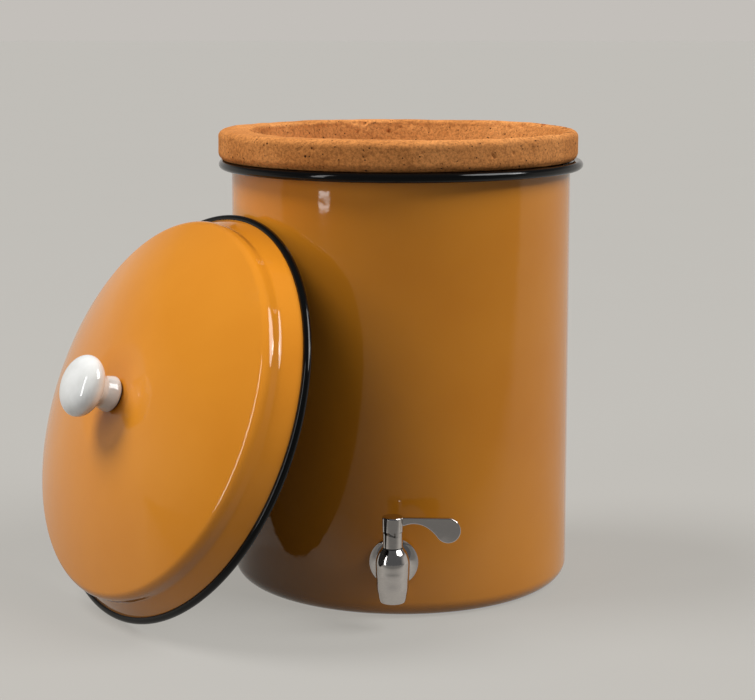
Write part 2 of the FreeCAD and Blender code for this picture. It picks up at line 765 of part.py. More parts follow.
def export(name, shape):
    """Write one sub-part and print its size, so that a bad solid shows at once."""
    solids = shape.Solids
    state = "valid" if shape.isValid() and solids else "INVALID"
    box = shape.BoundBox
    print("%-20s %-7s solids %d  volume %.1f  z %.2f to %.2f" % (
        name, state, len(solids), sum(s.Volume for s in solids), box.ZMin, box.ZMax))
    shape.exportStep(os.path.join("parts", name + ".step"))


fixed_makers = {
    "receptacle_shell": make_receptacle_shell,
    "clay_filter_pot": make_clay_filter_pot,
    "tap_body": make_tap_body,
    "tap_outer_seal": make_tap_outer_seal,
    "tap_inner_seal": make_tap_inner_seal,
    "tap_inner_washer": make_tap_inner_washer,
    "tap_nut": make_tap_nut,
    "tap_bonnet": make_tap_bonnet,
    "bonnet_gasket": make_bonnet_gasket,
    "stem_o_rings": make_stem_o_rings,
    "tap_lever": make_tap_lever,
    "lever_grub_screw": make_lever_grub_screw,
    "valve_stem": make_valve_stem,
    "valve_plug": make_valve_plug,
    "valve_spring": make_valve_spring,
}
lid_makers = {
    "lid_shell": make_lid_shell,
    "lid_knob": make_lid_knob,
    "knob_insert": make_knob_insert,
    "knob_gasket": make_knob_gasket,
    "knob_washer": make_knob_washer,
    "knob_screw": make_knob_screw,
}

os.makedirs("parts", exist_ok=True)
for name, maker in fixed_makers.items():
    export(name, maker())
placement = lid_placement()
print("lid centre", placement.Base, "axis", placement.Rotation.multVec(Vector(0, 0, 1)))
for name, maker in lid_makers.items():
    piece = maker()
    piece.Placement = placement.multiply(piece.Placement)
    export(name, piece)
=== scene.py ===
"""Looks of a gravity water filter with a lever tap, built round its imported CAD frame.

The receptacle, lid and clay pot are turned from half sections. The knob, the tap's castings and
the valve's spring are smoothed from the frame, and every piece gets a procedural finish. Lengths
are in metres, and X, Y and Z are the frame's.
"""
import json
import logging
import math
from dataclasses import dataclass, field
from enum import Enum, IntEnum
from typing import Callable, Sequence

import bpy
from mathutils import Matrix, Vector, noise


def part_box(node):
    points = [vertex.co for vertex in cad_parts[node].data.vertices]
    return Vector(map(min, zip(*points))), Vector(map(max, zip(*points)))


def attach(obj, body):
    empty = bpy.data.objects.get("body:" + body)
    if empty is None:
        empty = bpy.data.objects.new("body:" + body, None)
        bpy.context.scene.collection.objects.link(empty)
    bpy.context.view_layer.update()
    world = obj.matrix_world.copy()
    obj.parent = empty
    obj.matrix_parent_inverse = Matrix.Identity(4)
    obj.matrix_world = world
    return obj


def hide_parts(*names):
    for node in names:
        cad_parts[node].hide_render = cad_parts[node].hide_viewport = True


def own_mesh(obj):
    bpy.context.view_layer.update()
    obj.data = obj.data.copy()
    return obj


LOG = logging.getLogger("water_filter")
Point = tuple[float, float]
Colour = tuple[float, float, float]

Socket = bpy.types.NodeSocket
Tone = Colour | Socket

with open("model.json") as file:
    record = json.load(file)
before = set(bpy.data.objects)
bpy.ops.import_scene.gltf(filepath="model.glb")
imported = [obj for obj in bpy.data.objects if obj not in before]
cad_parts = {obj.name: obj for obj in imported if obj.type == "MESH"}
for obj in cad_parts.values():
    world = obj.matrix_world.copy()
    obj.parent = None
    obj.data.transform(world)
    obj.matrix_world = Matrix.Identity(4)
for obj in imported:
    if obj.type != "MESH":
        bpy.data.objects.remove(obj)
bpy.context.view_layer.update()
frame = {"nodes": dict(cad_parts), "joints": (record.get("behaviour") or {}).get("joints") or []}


def joint(name: str) -> dict:
    """One of the frame's joints."""
    return next(entry for entry in frame["joints"] if entry["name"] == name)


def middle_of(node: str) -> Vector:
    """The centre of a frame node's box."""
    low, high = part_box(node)
    return (low + high) / 2


def held(share: float) -> float:
    """A share held between 0 and 1."""
    return max(0.0, min(1.0, share))


def srgb(red: int, green: int, blue: int) -> Colour:
    """Turn a colour as seen on a screen, 0 to 255, into the linear values that a shader takes."""
    def linear(value: int) -> float:
        """One channel of the colour."""
        share = value / 255
        return share / 12.92 if share <= 0.04045 else ((share + 0.055) / 1.055) ** 2.4
    return linear(red), linear(green), linear(blue)


def round_points(centre: Point, radius: float, start: float, end: float,
                 count: int) -> list[Point]:
    """Points along a round stretch of a half section.

    Args:
        centre: Radius and height of the stretch's centre.
        radius: Its radius.
        start: Angle of its first point, in degrees from outwards.
        end: Angle of its last point.
        count: Number of points, both ends included.

    Returns:
        The points as (radius, height) pairs.
    """
    angles = [math.radians(start + (end - start) * n / (count - 1)) for n in range(count)]
    return [(centre[0] + radius * math.cos(a), centre[1] + radius * math.sin(a))
            for a in angles]


def straight_points(start: Point, end: Point, count: int) -> list[Point]:
    """Evenly spaced points between two points of a half section, both left out."""
    return [(start[0] + (end[0] - start[0]) * n / (count + 1),
             start[1] + (end[1] - start[1]) * n / (count + 1)) for n in range(1, count + 1)]


class Workshop:
    """Modelling moves that several pieces share."""
    SAME_POINT = 1e-6

    @staticmethod
    def deselect() -> None:
        """Leave nothing selected, the frame's nodes included."""
        bpy.ops.object.select_all(action="DESELECT")

    @classmethod
    def pick(cls, piece: bpy.types.Object) -> None:
        """Select one piece alone and make it active."""
        cls.deselect()
        piece.select_set(True)
        bpy.context.view_layer.objects.active = piece

    @classmethod
    def turn(cls, name: str, section: Sequence[Point], steps: int) -> bpy.types.Object:
        """Turn a half section about the Z axis into a closed piece.

        Args:
            name: The new piece's name.
            section: Half section as (radius, height) points, from the axis back to the axis,
                or round a closed ring that stays clear of it.
            steps: Number of facets round the axis.

        Returns:
            The piece, about the origin.
        """
        cls.deselect()
        bpy.ops.mesh.primitive_plane_add(size=0.01)
        piece = bpy.context.object
        piece.name = name
        bpy.ops.object.mode_set(mode="EDIT")
        bpy.ops.mesh.select_all(action="SELECT")
        bpy.ops.mesh.merge(type="CENTER")
        radius, height = section[0]
        bpy.ops.transform.translate(value=(radius, 0, height))
        for here, there in zip(section, section[1:]):
            step = (there[0] - here[0], 0, there[1] - here[1])
            bpy.ops.mesh.extrude_region_move(TRANSFORM_OT_translate={"value": step})
        bpy.ops.mesh.select_all(action="SELECT")
        bpy.ops.mesh.spin(steps=steps, angle=2 * math.pi, center=(0, 0, 0), axis=(0, 0, 1))
        bpy.ops.mesh.select_all(action="SELECT")
        bpy.ops.mesh.remove_doubles(threshold=cls.SAME_POINT)
        bpy.ops.mesh.normals_make_consistent(inside=False)
        bpy.ops.object.mode_set(mode="OBJECT")
        return piece

    @classmethod
    def smooth(cls, piece: bpy.types.Object, angle: float = 30) -> None:
        """Shade a piece smooth where its faces meet at less than an angle in degrees."""
        cls.pick(piece)
        bpy.ops.object.shade_smooth_by_angle(angle=math.radians(angle))

    @classmethod
    def put(cls, piece: bpy.types.Object, place: Matrix) -> None:
        """Move a piece by a matrix and leave its place in its mesh."""
        cls.pick(piece)
        piece.matrix_world = place
        bpy.ops.object.transform_apply(location=True, rotation=True, scale=True)

    @classmethod
    def copy_node(cls, node: str, name: str, angle: float = 30) -> bpy.types.Object:
        """Copy a frame node, merge its loose triangles and shade it smooth.

        Args:
            node: The frame node's name.
            name: The new piece's name.
            angle: Sharpest angle in degrees that is still shaded smooth.

        Returns:
            The copy, with its own mesh and no parent.
        """
        source = frame["nodes"][node]
        piece = bpy.data.objects.new(name, source.data.copy())
        piece.data.materials.clear()
        bpy.context.scene.collection.objects.link(piece)
        cls.pick(piece)
        if piece.data.has_custom_normals:
            bpy.ops.mesh.customdata_custom_splitnormals_clear()
        bpy.ops.object.mode_set(mode="EDIT")
        bpy.ops.mesh.select_all(action="SELECT")
        bpy.ops.mesh.remove_doubles(threshold=cls.SAME_POINT)
        bpy.ops.object.mode_set(mode="OBJECT")
        cls.smooth(piece, angle)
        return piece

    @classmethod
    def paint(cls, piece: bpy.types.Object, coats: Sequence[bpy.types.Material],
              choose: Callable[[Vector, Vector], "Coat"]) -> None:
        """Give each face of a piece one of several materials.

        Args:
            piece: The piece.
            coats: Its materials, in the order of Coat.
            choose: Takes a face's centre and normal and returns its coat.
        """
        for coat in coats:
            piece.data.materials.append(coat)
        for face in piece.data.polygons:
            face.material_index = int(choose(face.center, face.normal))


class Coat(IntEnum):
    """The enamels of a drawn steel piece, in the order of its materials."""
    OUTSIDE = 0
    EDGE = 1
    INSIDE = 2


class Grain(Enum):
    """Kinds of fine pattern that a finish can carry."""
    NOISE = "ShaderNodeTexNoise"
    CELLS = "ShaderNodeTexVoronoi"


class Graph:
    """The nodes of a material or of the world, and the sums that both of them need."""
    MIX_LOW, MIX_HIGH, MIX_RESULT = 6, 7, 2

    def __init__(self, tree: bpy.types.NodeTree) -> None:
        """Take over a node tree."""
        self.nodes, self.links = tree.nodes, tree.links

    def blend(self, share: float | Socket, low: Tone, high: Tone, kind: str = "MIX") -> Socket:
        """Mix two colours, each a socket or a plain colour, by a share."""
        node = self.nodes.new("ShaderNodeMix")
        node.data_type = "RGBA"
        node.blend_type = kind
        if isinstance(share, float):
            node.inputs[0].default_value = share
        else:
            self.links.new(share, node.inputs[0])
        for place, value in ((self.MIX_LOW, low), (self.MIX_HIGH, high)):
            if isinstance(value, tuple):
                node.inputs[place].default_value = (*value, 1)
            else:
                self.links.new(value, node.inputs[place])
        return node.outputs[self.MIX_RESULT]

    def spread(self, source: Socket, low: float, high: float,
               usual: tuple[float, float] = (0.3, 0.7)) -> Socket:
        """Map a value's usual range, by default a pattern's, to low and high."""
        node = self.nodes.new("ShaderNodeMapRange")
        node.inputs["From Min"].default_value, node.inputs["From Max"].default_value = usual
        node.inputs["To Min"].default_value, node.inputs["To Max"].default_value = low, high
        self.links.new(source, node.inputs["Value"])
        return node.outputs["Result"]

    def join(self, kind: str, first: Socket, second: Socket) -> Socket:
        """One value from two, by a kind of sum such as MAXIMUM or MULTIPLY."""
        node = self.nodes.new("ShaderNodeMath")
        node.operation = kind
        self.links.new(first, node.inputs[0])
        self.links.new(second, node.inputs[1])
        return node.outputs[0]

    def shown(self, place: Socket, fades: dict[str, tuple[float, float]]) -> Socket:
        """How much of the backdrop's glow shows: all of it straight, and a share in gloss.

        Args:
            place: Where a point lies, or a ray's direction.
            fades: For an axis, where gloss and glass see none of the glow and where all of it.

        Returns:
            The share, which is 0 for light that spreads from a matt surface.
        """
        path = self.nodes.new("ShaderNodeLightPath")
        share = self.join("MAXIMUM", path.outputs["Is Glossy Ray"],
                          path.outputs["Is Transmission Ray"])
        split = self.nodes.new("ShaderNodeSeparateXYZ")
        self.links.new(place, split.inputs[0])
        for axis, reach in fades.items():
            share = self.join("MULTIPLY", share, self.spread(split.outputs[axis], 0, 1, reach))
        return self.join("MAXIMUM", share, path.outputs["Is Camera Ray"])


class Shader(Graph):
    """A material under construction: a Principled shader and the nodes that feed it."""

    def __init__(self, name: str, stretch: Sequence[float] = (1, 1, 1)) -> None:
        """Start a material whose patterns follow the piece's own coordinates.

        Args:
            name: The material's name.
            stretch: Scale of the patterns along X, Y and Z.
        """
        self.material = bpy.data.materials.new(name)
        self.material.use_nodes = True
        super().__init__(self.material.node_tree)
        self.surface = self.nodes["Principled BSDF"]
        place = self.nodes.new("ShaderNodeTexCoord")
        mapping = self.nodes.new("ShaderNodeMapping")
        mapping.inputs["Scale"].default_value = tuple(stretch)
        self.links.new(place.outputs["Object"], mapping.inputs["Vector"])
        self.where = mapping.outputs["Vector"]
        self.last_bump = None

    def set(self, **values: float | tuple[float, ...]) -> None:
        """Set plain sockets of the shader, with underscores for spaces in their names."""
        for key, value in values.items():
            self.surface.inputs[key.replace("_", " ")].default_value = value

    def pattern(self, grain: Grain, scale: float, detail: float = 3.0,
                roughness: float = 0.5) -> Socket:
        """A fine pattern on the piece's coordinates.

        Args:
            grain: Its kind.
            scale: Repeats in a metre.
            detail: Octaves of noise; cells take none.
            roughness: How strong the fine octaves are.

        Returns:
            The pattern's value, from 0 to about 1.
        """
        node = self.nodes.new(grain.value)
        node.inputs["Scale"].default_value = scale
        self.links.new(self.where, node.inputs["Vector"])
        if grain is Grain.NOISE:
            node.inputs["Detail"].default_value = detail
            node.inputs["Roughness"].default_value = roughness
            return node.outputs["Fac"]
        return node.outputs["Distance"]

    def ramp(self, source: Socket, stops: Sequence[tuple[float, Colour]]) -> Socket:
        """Map a value to colours or greys by stops along it.

        Args:
            source: The value.
            stops: Pairs of a place from 0 to 1 and a colour.

        Returns:
            The mapped colour.
        """
        node = self.nodes.new("ShaderNodeValToRGB")
        elements = node.color_ramp.elements
        while len(elements) < len(stops):
            elements.new(0.5)
        for element, (place, value) in zip(elements, stops):
            element.position = place
            element.color = (*value, 1)
        self.links.new(source, node.inputs["Fac"])
        return node.outputs["Color"]

    def feed(self, socket: str, source: Socket) -> None:
        """Link a value into one of the shader's sockets."""
        self.links.new(source, self.surface.inputs[socket])

    def bump(self, source: Socket, depth: float, strength: float = 1.0) -> None:
        """Raise the surface by a pattern, on top of any bump before it.

        Args:
            source: The height from 0 to 1.
            depth: What a height of 1 is in metres.
            strength: Share of the effect that is kept.
        """
        node = self.nodes.new("ShaderNodeBump")
        node.inputs["Distance"].default_value = depth
        node.inputs["Strength"].default_value = strength
        self.links.new(source, node.inputs["Height"])
        if self.last_bump is not None:
            self.links.new(self.last_bump, node.inputs["Normal"])
        self.last_bump = node.outputs["Normal"]
        self.links.new(self.last_bump, self.surface.inputs["Normal"])


@dataclass(frozen=True)
class Enamel:
    """Vitreous enamel on steel: glossy, faintly uneven, with tiny specks in the glaze.

    A size that ends in scale is a pattern's repeats in a metre, and a depth is in metres.
    """
    name: str
    colour: Colour
    dark: Colour
    roughness: float = 0.055
    gloss: float = 0.5
    tone_scale: float = 9
    speck_scale: float = 240
    speck_tone: float = 0.45
    patch_scale: float = 14
    smear_scale: float = 22
    peel_scale: float = 70
    peel_depth: float = 0.00012
    wave_scale: float = 6
    wave_depth: float = 0.0009

    def build(self) -> bpy.types.Material:
        """Make the material."""
        shader = Shader(self.name)
        flow = shader.pattern(Grain.NOISE, self.tone_scale, 3)
        tone = shader.ramp(flow, [(0.32, self.dark), (0.68, self.colour)])
        specks = shader.ramp(shader.pattern(Grain.CELLS, self.speck_scale),
                             [(0.05, (1, 1, 1)), (0.09, (0, 0, 0))])
        patches = shader.ramp(shader.pattern(Grain.NOISE, self.patch_scale, 2),
                              [(0.62, (0, 0, 0)), (0.70, (0.5, 0.5, 0.5))])
        share = shader.blend(1.0, specks, patches, "MULTIPLY")
        deep = tuple(self.speck_tone * channel for channel in self.dark)
        shader.feed("Base Color", shader.blend(share, tone, deep))
        smear = shader.pattern(Grain.NOISE, self.smear_scale, 4)
        shader.feed("Roughness", shader.spread(smear, self.roughness * 0.8,
                                               self.roughness * 1.4))
        shader.bump(shader.pattern(Grain.NOISE, self.peel_scale, 2), self.peel_depth)
        shader.bump(shader.pattern(Grain.NOISE, self.wave_scale, 1), self.wave_depth, 0.6)
        shader.set(IOR=1.5, Specular_IOR_Level=self.gloss)
        return shader.material


@dataclass(frozen=True)
class FiredClay:
    """Porous clay: warm tan, mottled, with grog, pits painted dark as shade in the holes, and a
    dusty dry surface.

    Scales are repeats in a metre and depths are in metres.
    """
    name: str = "fired_clay"
    light: Colour = srgb(224, 151, 86)
    mid: Colour = srgb(210, 138, 75)
    dark: Colour = srgb(190, 121, 62)
    # The pits' dark colour is painted shade inside the holes.
    pit: Colour = srgb(58, 36, 20)
    mottle_scale: float = 16
    grain_scale: float = 420
    grain_depth: float = 0.0005
    lump_scale: float = 130
    lump_depth: float = 0.0007
    large_pit_scale: float = 85
    small_pit_scale: float = 230
    pit_depth: float = 0.0012

    def build(self) -> bpy.types.Material:
        """Make the material."""
        shader = Shader(self.name)
        broad = shader.pattern(Grain.NOISE, self.mottle_scale, 5, 0.65)
        tone = shader.ramp(broad, [(0.32, self.dark), (0.50, self.mid), (0.68, self.light)])
        fine = shader.pattern(Grain.NOISE, self.grain_scale, 4, 0.7)
        grain = shader.ramp(fine, [(0.36, (0.50, 0.46, 0.43)), (0.56, (1, 1, 1)),
                                   (0.72, (1.18, 1.16, 1.12))])
        tone = shader.blend(0.8, tone, grain, "MULTIPLY")
        holes = shader.blend(1.0, self.pits(shader, self.large_pit_scale, 0.10, 0.62),
                             self.pits(shader, self.small_pit_scale, 0.17, 0.55), "LIGHTEN")
        # Painted shade: the pits are coloured dark where their holes would be shaded.
        shader.feed("Base Color", shader.blend(holes, tone, self.pit))
        shader.feed("Roughness", shader.spread(fine, 0.82, 0.97))
        shader.bump(fine, self.grain_depth, 0.8)
        shader.bump(shader.pattern(Grain.NOISE, self.lump_scale, 3), self.lump_depth, 0.7)
        shader.bump(shader.blend(1.0, (1.0, 1.0, 1.0), holes, "SUBTRACT"), self.pit_depth, 0.9)
        shader.set(Specular_IOR_Level=0.2)
        return shader.material

    @staticmethod
    def pits(shader: Shader, scale: float, radius: float, scarcity: float) -> Socket:
        """Round pits in some cells of a cell pattern, 1 in a pit and 0 outside.

        Args:
            shader: The material under construction.
            scale: Cells in a metre.
            radius: Share of a cell that a pit reaches.
            scarcity: Share of the cells that have none.

        Returns:
            Where the pits are.
        """
        distance = shader.pattern(Grain.CELLS, scale)
        colour = distance.node.outputs["Color"]
        spot = shader.ramp(distance, [(radius * 0.6, (1, 1, 1)), (radius, (0, 0, 0))])
        keep = shader.ramp(colour, [(scarcity, (0, 0, 0)), (scarcity + 0.02, (1, 1, 1))])
        return shader.blend(1.0, spot, keep, "MULTIPLY")


@dataclass(frozen=True)
class Porcelain:
    """White glazed porcelain, cleanly glossy with a hint of pooled glaze."""
    name: str = "white_porcelain"
    colour: Colour = srgb(236, 236, 233)
    pooled: Colour = srgb(222, 222, 218)
    pool_scale: float = 45
    smear_scale: float = 120
    peel_scale: float = 60
    peel_depth: float = 0.0002

    def build(self) -> bpy.types.Material:
        """Make the material."""
        shader = Shader(self.name)
        shader.feed("Base Color", shader.ramp(shader.pattern(Grain.NOISE, self.pool_scale, 3),
                                              [(0.35, self.pooled), (0.62, self.colour)]))
        smear = shader.pattern(Grain.NOISE, self.smear_scale, 3)
        shader.feed("Roughness", shader.spread(smear, 0.08, 0.16))
        shader.bump(shader.pattern(Grain.NOISE, self.peel_scale, 2), self.peel_depth, 0.5)
        shader.set(Coat_Weight=0.6, Coat_Roughness=0.05)
        return shader.material


@dataclass(frozen=True)
class Metal:
    """Turned or polished metal with faint polishing marks."""
    name: str
    colour: Colour
    low: float
    high: float
    stretch: tuple[float, float, float] = (1, 1, 14)
    mark_scale: float = 320
    mark_depth: float = 0.00002
    dimming: float = 0.82

    def build(self) -> bpy.types.Material:
        """Make the material."""
        shader = Shader(self.name, self.stretch)
        marks = shader.pattern(Grain.NOISE, self.mark_scale, 4, 0.6)
        dim = tuple(self.dimming * channel for channel in self.colour)
        shader.feed("Base Color", shader.ramp(marks, [(0.3, dim), (0.7, self.colour)]))
        shader.feed("Roughness", shader.spread(marks, self.low, self.high))
        shader.bump(marks, self.mark_depth, 0.5)
        shader.set(Metallic=1.0)
        return shader.material


@dataclass(frozen=True)
class Rubber:
    """Moulded rubber or silicone with a soft sheen."""
    name: str
    colour: Colour
    roughness: float
    unevenness: float = 0.08
    dust_scale: float = 400
    dust_depth: float = 0.0001
    dimming: float = 0.8

    def build(self) -> bpy.types.Material:
        """Make the material."""
        shader = Shader(self.name)
        dust = shader.pattern(Grain.NOISE, self.dust_scale, 4)
        dim = tuple(self.dimming * channel for channel in self.colour)
        shader.feed("Base Color", shader.ramp(dust, [(0.35, dim), (0.65, self.colour)]))
        shader.feed("Roughness", shader.spread(dust, self.roughness - self.unevenness,
                                               self.roughness + self.unevenness))
        shader.bump(dust, self.dust_depth, 0.4)
        return shader.material


class Finishes:
    """Every material of the object, built once."""

    def __init__(self) -> None:
        """Build the materials."""
        self.ochre = Enamel("ochre_enamel", srgb(218, 139, 38), srgb(211, 131, 32)).build()
        self.black = Enamel("black_enamel", (0.003, 0.003, 0.003), (0.002, 0.002, 0.002),
                            0.07, 0.25).build()
        # Dark grey inside coat: the real coat is a guess, and it is made this dark as painted
        # shade, so that the gap between lid and pot and the lid's reflection in the pot read as
        # deep shade.
        self.inside = Enamel("dark_ground_coat_and_shade", srgb(40, 40, 43), srgb(30, 30, 33),
                             0.16).build()
        self.clay = FiredClay().build()
        self.porcelain = Porcelain().build()
        self.polished = Metal("polished_steel", srgb(214, 209, 205), 0.06, 0.14).build()
        self.steel = Metal("plain_steel", srgb(190, 190, 190), 0.25, 0.42).build()
        self.brass = Metal("turned_brass", srgb(214, 176, 96), 0.2, 0.35).build()
        self.silicone = Rubber("clear_silicone", srgb(222, 220, 214), 0.4).build()
        self.rubber = Rubber("black_rubber", (0.012, 0.012, 0.012), 0.5).build()


@dataclass
class Receptacle:
    """The enamelled steel pot that stands on the floor."""
    finishes: Finishes
    outer_radius: float = 0.150
    sheet: float = 0.0012
    corner: float = 0.014
    bead_radius: float = 0.004
    bead_overhang: float = 0.0074
    curl: float = 0.005
    disc_radius: float = 0.096
    recess_depth: float = 0.0025
    recess_slope: float = 0.005
    ring_width: float = 0.012
    bore_radius: float = 0.0085
    drill_depth: float = 0.02
    wall_steps: int = 28
    bead_steps: int = 26
    facets: int = 256
    height: float = field(init=False)

    def __post_init__(self) -> None:
        """Read the height of the rolled edge from the frame."""
        self.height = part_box("receptacle_shell")[1].z

    def section(self) -> list[Point]:
        """Half section: out along the base, up the wall, round the edge and back inside."""
        corner = (self.outer_radius - self.corner, self.corner)
        ring = corner[0] - self.ring_width
        slope = self.recess_slope
        base = [(0.0, 0.0), (self.disc_radius, 0.0),
                (self.disc_radius + slope, self.recess_depth),
                (ring - slope, self.recess_depth), (ring, 0.0)]
        bead = (self.outer_radius + self.bead_overhang, self.height - self.bead_radius)
        curl = (self.outer_radius + self.curl, self.height - self.sheet - self.curl)
        wall_top = (self.outer_radius, curl[1])
        points = list(base)
        points += round_points(corner, self.corner, -90, 0, 12)
        points += straight_points((self.outer_radius, corner[1]), wall_top, self.wall_steps)
        points += round_points(curl, self.curl, 180, 125, 6)
        points += round_points(bead, self.bead_radius, 195, 450, self.bead_steps)
        points += round_points(curl, self.curl + self.sheet, 90, 180, 8)
        inner = self.outer_radius - self.sheet
        points += straight_points((inner, wall_top[1]), (inner, corner[1]), 8)
        points += round_points(corner, self.corner - self.sheet, 0, -90, 8)
        points += [(r, z + self.sheet) for r, z in reversed(base)]
        return points

    def coat(self, centre: Vector, normal: Vector) -> Coat:
        """Which enamel a face has: ochre outside, black on the edge, and inside a dark ground
        coat that is partly painted shade.
        """
        radius = math.hypot(centre.x, centre.y)
        outwards = normal.x * centre.x + normal.y * centre.y
        edge_bottom = self.height - 2.6 * self.bead_radius
        if centre.z > edge_bottom and radius > self.outer_radius - self.sheet / 3:
            return Coat.EDGE
        inside = outwards < 0 or (normal.z > 0.2 and radius < self.outer_radius - self.sheet / 2)
        return Coat.INSIDE if inside else Coat.OUTSIDE

    def build(self) -> list[bpy.types.Object]:
        """Model, pierce, paint and seat the pot."""
        pot = Workshop.turn("enamelled_receptacle", self.section(), self.facets)
        self.pierce(pot)
        Workshop.paint(pot, [self.finishes.ochre, self.finishes.black, self.finishes.inside],
                       self.coat)
        Workshop.smooth(pot, 35)
        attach(pot, "receptacle")
        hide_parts("receptacle_shell")
        return [pot]

    def pierce(self, pot: bpy.types.Object) -> None:
        """Cut the hole for the tap's shank with a drill-like cylinder."""
        centre = middle_of("tap_nut")
        Workshop.deselect()
        bpy.ops.mesh.primitive_cylinder_add(
            vertices=48, radius=self.bore_radius, depth=self.drill_depth,
            location=(centre.x, -self.outer_radius, centre.z), rotation=(math.pi / 2, 0, 0))
        drill = bpy.context.object
        Workshop.pick(pot)
        cut = pot.modifiers.new("shank_hole", "BOOLEAN")
        cut.operation = "DIFFERENCE"
        cut.object = drill
        cut.solver = "EXACT"
        bpy.ops.object.modifier_apply(modifier=cut.name)
        bpy.data.objects.remove(drill)


@dataclass
class ClayPot:
    """The porous clay pot that hangs in the receptacle by its thick hand-pressed rim."""
    finishes: Finishes
    rim_radius: float = 0.160
    rim_edge: float = 0.0065
    opening_radius: float = 0.139
    opening_shift: float = 0.0105
    opening_edge: float = 0.005
    throat_radius: float = 0.127
    throat_drop: float = 0.038
    seat_gap: float = 0.0003
    seat_radius: float = 0.150
    body_radius: float = 0.143
    foot_radius: float = 0.124
    foot_edge: float = 0.014
    floor: float = 0.018
    wall: float = 0.016
    wave_scale: float = 14
    ripple_scale: float = 55
    chip_scale: tuple[float, float, float] = (120, 120, 90)
    chip_reach: float = 0.006
    chip_size: tuple[float, float] = (0.0045, 0.0060)
    pit_scale: float = 210
    pit_depth: float = 0.006
    facets: int = 640
    top: float = field(init=False)
    bottom: float = field(init=False)
    rim_bottom: float = field(init=False)
    shift_x: float = field(init=False)

    def __post_init__(self) -> None:
        """Read the pot's place from the frame."""
        low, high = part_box("clay_filter_pot")
        self.top, self.bottom = high.z, low.z
        self.shift_x = (low.x + high.x) / 2
        self.rim_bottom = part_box("receptacle_shell")[1].z + self.seat_gap

    def section(self) -> list[Point]:
        """Half section of the pot, from its foot over the rim and down inside."""
        foot = (self.foot_radius - self.foot_edge, self.bottom + self.foot_edge)
        low = (self.rim_radius - self.rim_edge, self.rim_bottom + self.rim_edge)
        high = (self.rim_radius - self.rim_edge, self.top - self.rim_edge)
        lip = (self.opening_radius + self.opening_edge, self.top - self.opening_edge)
        throat = (self.throat_radius, self.top - self.throat_drop)
        well = (self.foot_radius - self.wall, self.bottom + self.floor)
        points = [(0.0, self.bottom), (foot[0] * 0.5, self.bottom)]
        points += round_points(foot, self.foot_edge, -90, 0, 7)
        points += straight_points((self.foot_radius, foot[1]),
                                  (self.body_radius, self.rim_bottom), 6)
        points += [(self.body_radius, self.rim_bottom), (self.seat_radius, self.rim_bottom)]
        points += round_points(low, self.rim_edge, -90, 0, 8)
        points += straight_points((self.rim_radius, low[1]), (self.rim_radius, high[1]), 11)
        points += round_points(high, self.rim_edge, 0, 90, 9)
        points += straight_points((high[0], self.top), (lip[0], self.top), 6)
        points += round_points(lip, self.opening_edge, 90, 180, 8)
        points += straight_points((self.opening_radius, lip[1]), throat, 18)
        points += [throat]
        points += straight_points(throat, well, 8)
        points += [well, (well[0] * 0.5, well[1]), (0.0, well[1])]
        return points

    def build(self) -> list[bpy.types.Object]:
        """Model, roughen and seat the pot."""
        pot = Workshop.turn("clay_pot_with_pressed_rim", self.section(), self.facets)
        self.roughen(pot)
        pot.data.materials.append(self.finishes.clay)
        Workshop.smooth(pot, 80)
        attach(pot, "filter")
        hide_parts("clay_filter_pot")
        return [pot]

    def roughen(self, pot: bpy.types.Object) -> None:
        """Push the opening off centre, wave the rim, chip its inner edge and open small pits."""
        for vertex in pot.data.vertices:
            place = vertex.co
            radius = math.hypot(place.x, place.y)
            if radius < Workshop.SAME_POINT:
                place.x += self.shift_x
                continue
            moved = Vector(place) + Vector(
                (self.shift_x + self.opening_shift * self.off_centre(place, radius), 0, 0))
            on_rim = (place.z > self.rim_bottom + 0.001
                      and radius > self.throat_radius + 0.001)
            vertex.co = moved + self.wear(place, radius) if on_rim else moved

    def off_centre(self, place: Vector, radius: float) -> float:
        """Share of the opening's shift that a point takes part in, from 0 outside to 1."""
        lifted = held((place.z - (self.top - self.throat_drop)) / self.throat_drop)
        rim_top = self.rim_radius - self.rim_edge
        lip = self.opening_radius + self.opening_edge
        inward = held((rim_top - radius) / (rim_top - lip))
        outside = radius > self.body_radius + 0.001 and place.z < self.top - 0.0001
        return 0.0 if outside and radius > lip + 0.004 else lifted * inward

    def wear(self, place: Vector, radius: float) -> Vector:
        """How far a point of the rim is pressed, chipped and pitted.

        Args:
            place: The point, about the pot's own axis.
            radius: Its distance from the axis.

        Returns:
            The move.
        """
        wave = noise.noise(Vector((place.x, place.y, 0)) * self.wave_scale
                           + Vector((0, 0, 3.1)))
        ripple = noise.noise(place * self.ripple_scale)
        near_top = max(0.0, (place.z - (self.top - 0.010)) / 0.010)
        sunk = near_top * (0.0011 + 0.0010 * wave + 0.0005 * ripple)
        side = 0.0005 * ripple + 0.0004 * wave - 0.0008
        to_edge = abs(radius - self.opening_radius - 0.001)
        chip = noise.noise(Vector(a * b for a, b in zip(place, self.chip_scale)))
        bite = max(0.0, chip - 0.08) * max(0.0, 1 - to_edge / self.chip_reach) * near_top
        pit = noise.noise(place * self.pit_scale + Vector((0, 0, 7)))
        hole = max(0.0, pit - 0.50) * self.pit_depth
        if radius > self.rim_radius - self.rim_edge:
            hole = side - hole
        outwards = self.chip_size[0] * bite + hole
        return Vector((outwards * place.x / radius, outwards * place.y / radius,
                       -sunk - self.chip_size[1] * bite))


